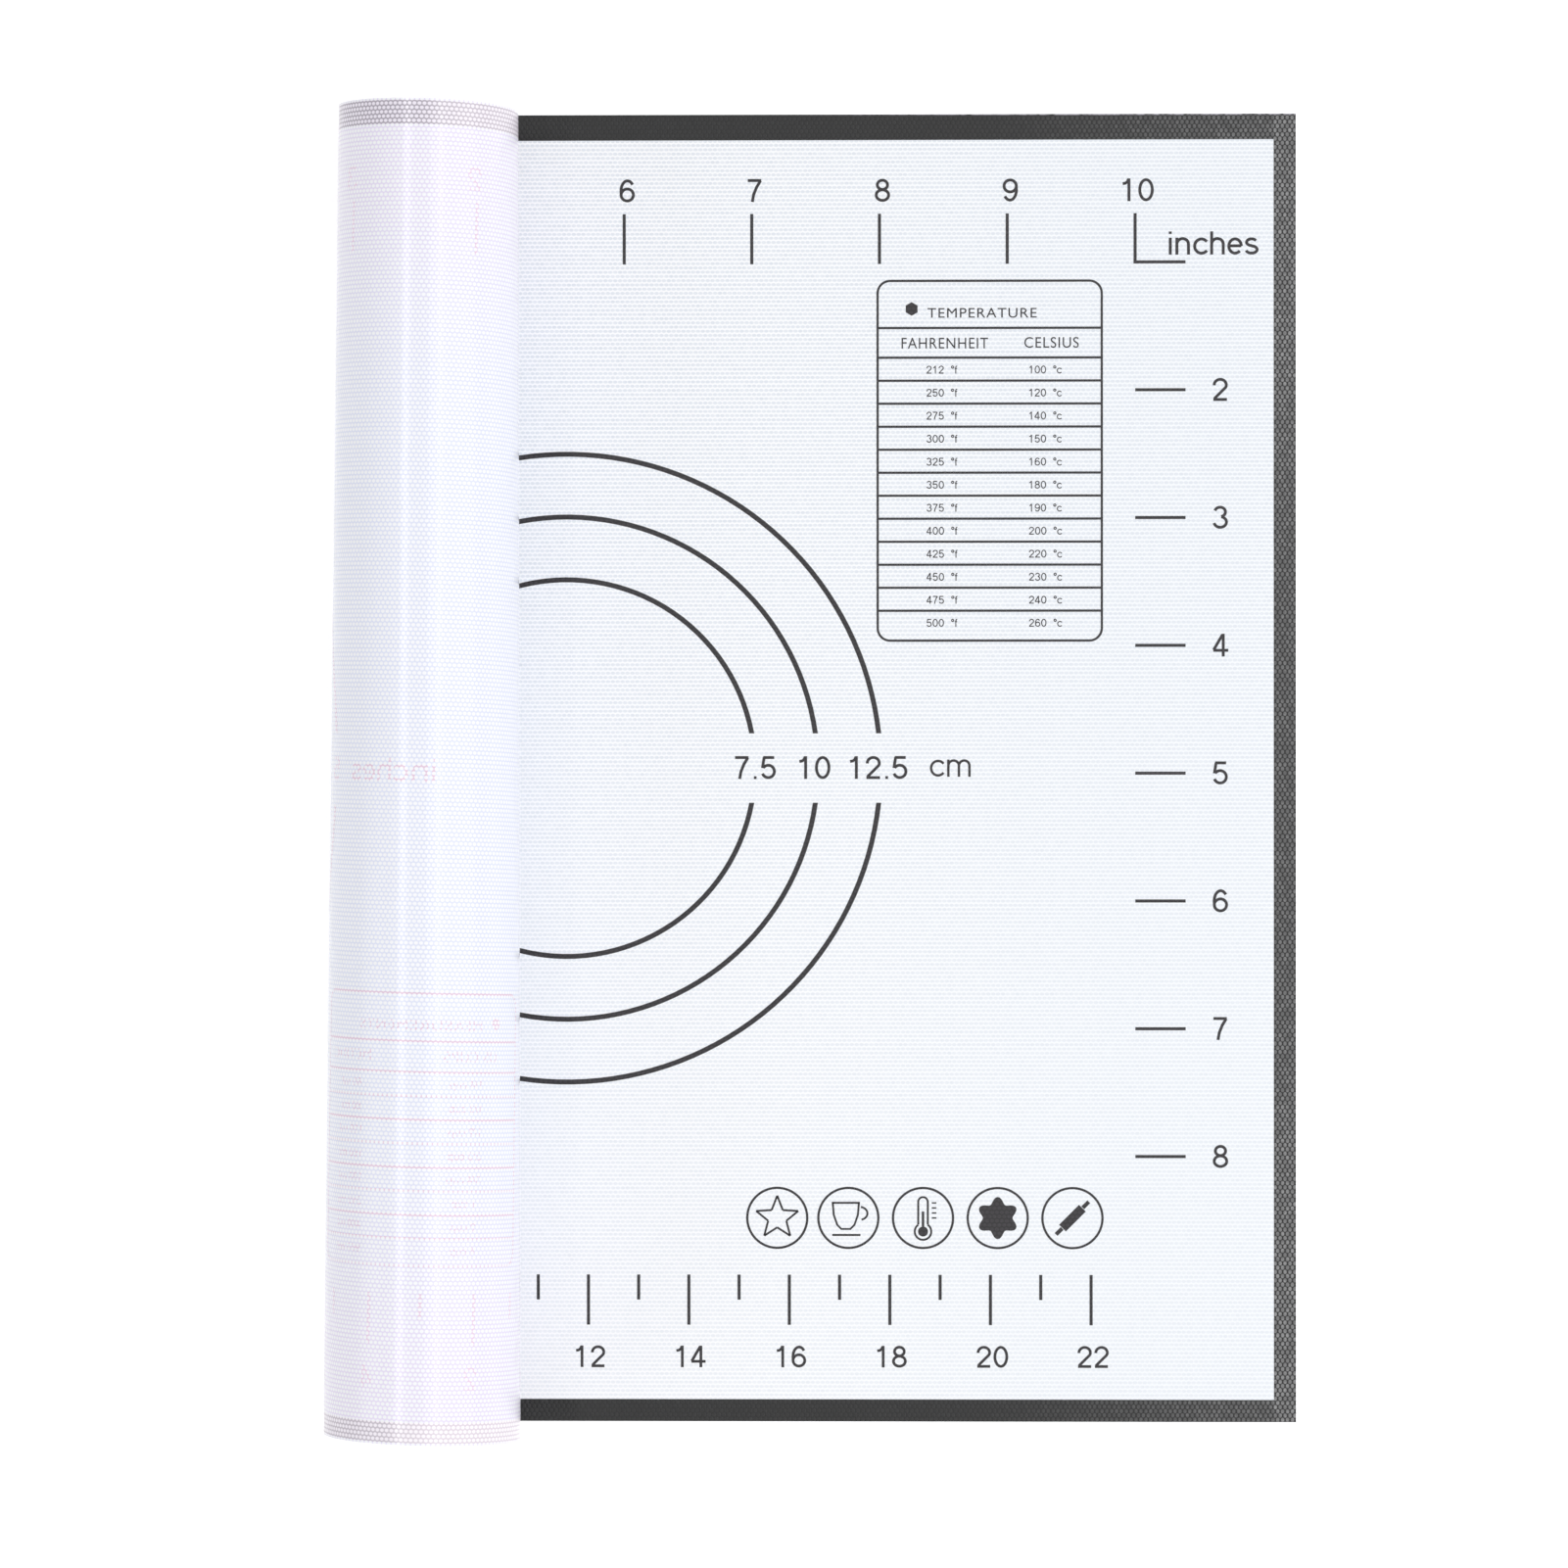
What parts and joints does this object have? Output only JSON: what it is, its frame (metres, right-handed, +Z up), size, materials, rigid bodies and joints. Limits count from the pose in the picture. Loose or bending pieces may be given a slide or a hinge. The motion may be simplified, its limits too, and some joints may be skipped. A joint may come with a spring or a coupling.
{
  "type": "silicone baking mat",
  "caption": "Rectangular silicone baking mat on woven glass cloth, with a dark edge band and printed measuring scales, its left end rolled up over itself and able to unroll flat.",
  "frame": {"origin": "centre of the mat's bounding box seen from above, on the surface it lies on, with its left end rolled up", "axes": "+X across the mat away from the rolled end, +Y along the roll towards the back edge with the inch scale, +Z up from the table"},
  "size_m": [0.1916, 0.2628, 0.0395],
  "materials": {
    "silicone_coat": "satin",
    "glass_cloth": "woven",
    "dark_band": "satin",
    "print_ink": "satin"
  },
  "bodies": {
    "flat_mat": {"base_coat": "silicone_coat", "glass_cloth": "glass_cloth", "top_coat": "silicone_coat", "border_band": "dark_band", "circle_guides": "print_ink", "inch_scale": "print_ink", "side_scale": "print_ink", "centimetre_scale": "print_ink", "conversion_table": "print_ink", "badge_rings": "print_ink"},
    "strip_01": {"rolled_coat_01": "silicone_coat", "rolled_cloth_01": "glass_cloth"},
    "strip_02": {"rolled_coat_02": "silicone_coat", "rolled_cloth_02": "glass_cloth"},
    "strip_03": {"rolled_coat_03": "silicone_coat", "rolled_cloth_03": "glass_cloth"},
    "strip_04": {"rolled_coat_04": "silicone_coat", "rolled_cloth_04": "glass_cloth"},
    "strip_05": {"rolled_coat_05": "silicone_coat", "rolled_cloth_05": "glass_cloth"},
    "strip_06": {"rolled_coat_06": "silicone_coat", "rolled_cloth_06": "glass_cloth"}
  },
  "joints": [
    {"name": "crease_01", "type": "hinge", "parent": "flat_mat", "child": "strip_01", "pos_m": [-0.0752, 0.00143, 0], "axis": [-0.0046, -1, 0], "range_deg": [0, 33.05]},
    {"name": "crease_02", "type": "hinge", "parent": "strip_01", "child": "strip_02", "pos_m": [-0.09271, 0.00142, 0.01139], "axis": [-0.0108, -0.9999, 0.004], "range_deg": [0, 66.72]},
    {"name": "crease_03", "type": "hinge", "parent": "strip_02", "child": "strip_03", "pos_m": [-0.08917, 0.00121, 0.03198], "axis": [-0.0096, -0.9999, 0.0113], "range_deg": [0, 68.02]},
    {"name": "crease_04", "type": "hinge", "parent": "strip_03", "child": "strip_04", "pos_m": [-0.06875, 0.00066, 0.03641], "axis": [-0.0023, -0.9999, 0.0129], "range_deg": [0, 69.39]},
    {"name": "crease_05", "type": "hinge", "parent": "strip_04", "child": "strip_05", "pos_m": [-0.05744, -0.00015, 0.01886], "axis": [0.0017, -1, 0.0067], "range_deg": [0, 70.86]},
    {"name": "crease_06", "type": "hinge", "parent": "strip_05", "child": "strip_06", "pos_m": [-0.0703, -0.00099, 0.00242], "axis": [-0.0029, -1, 0.0009], "range_deg": [0, 72.43]}
  ],
  "couplings": [
    {"joint": "crease_02", "follows": "crease_01", "ratio": 2.019},
    {"joint": "crease_03", "follows": "crease_01", "ratio": 2.0581},
    {"joint": "crease_04", "follows": "crease_01", "ratio": 2.0998},
    {"joint": "crease_05", "follows": "crease_01", "ratio": 2.1442},
    {"joint": "crease_06", "follows": "crease_01", "ratio": 2.1917}
  ]
}
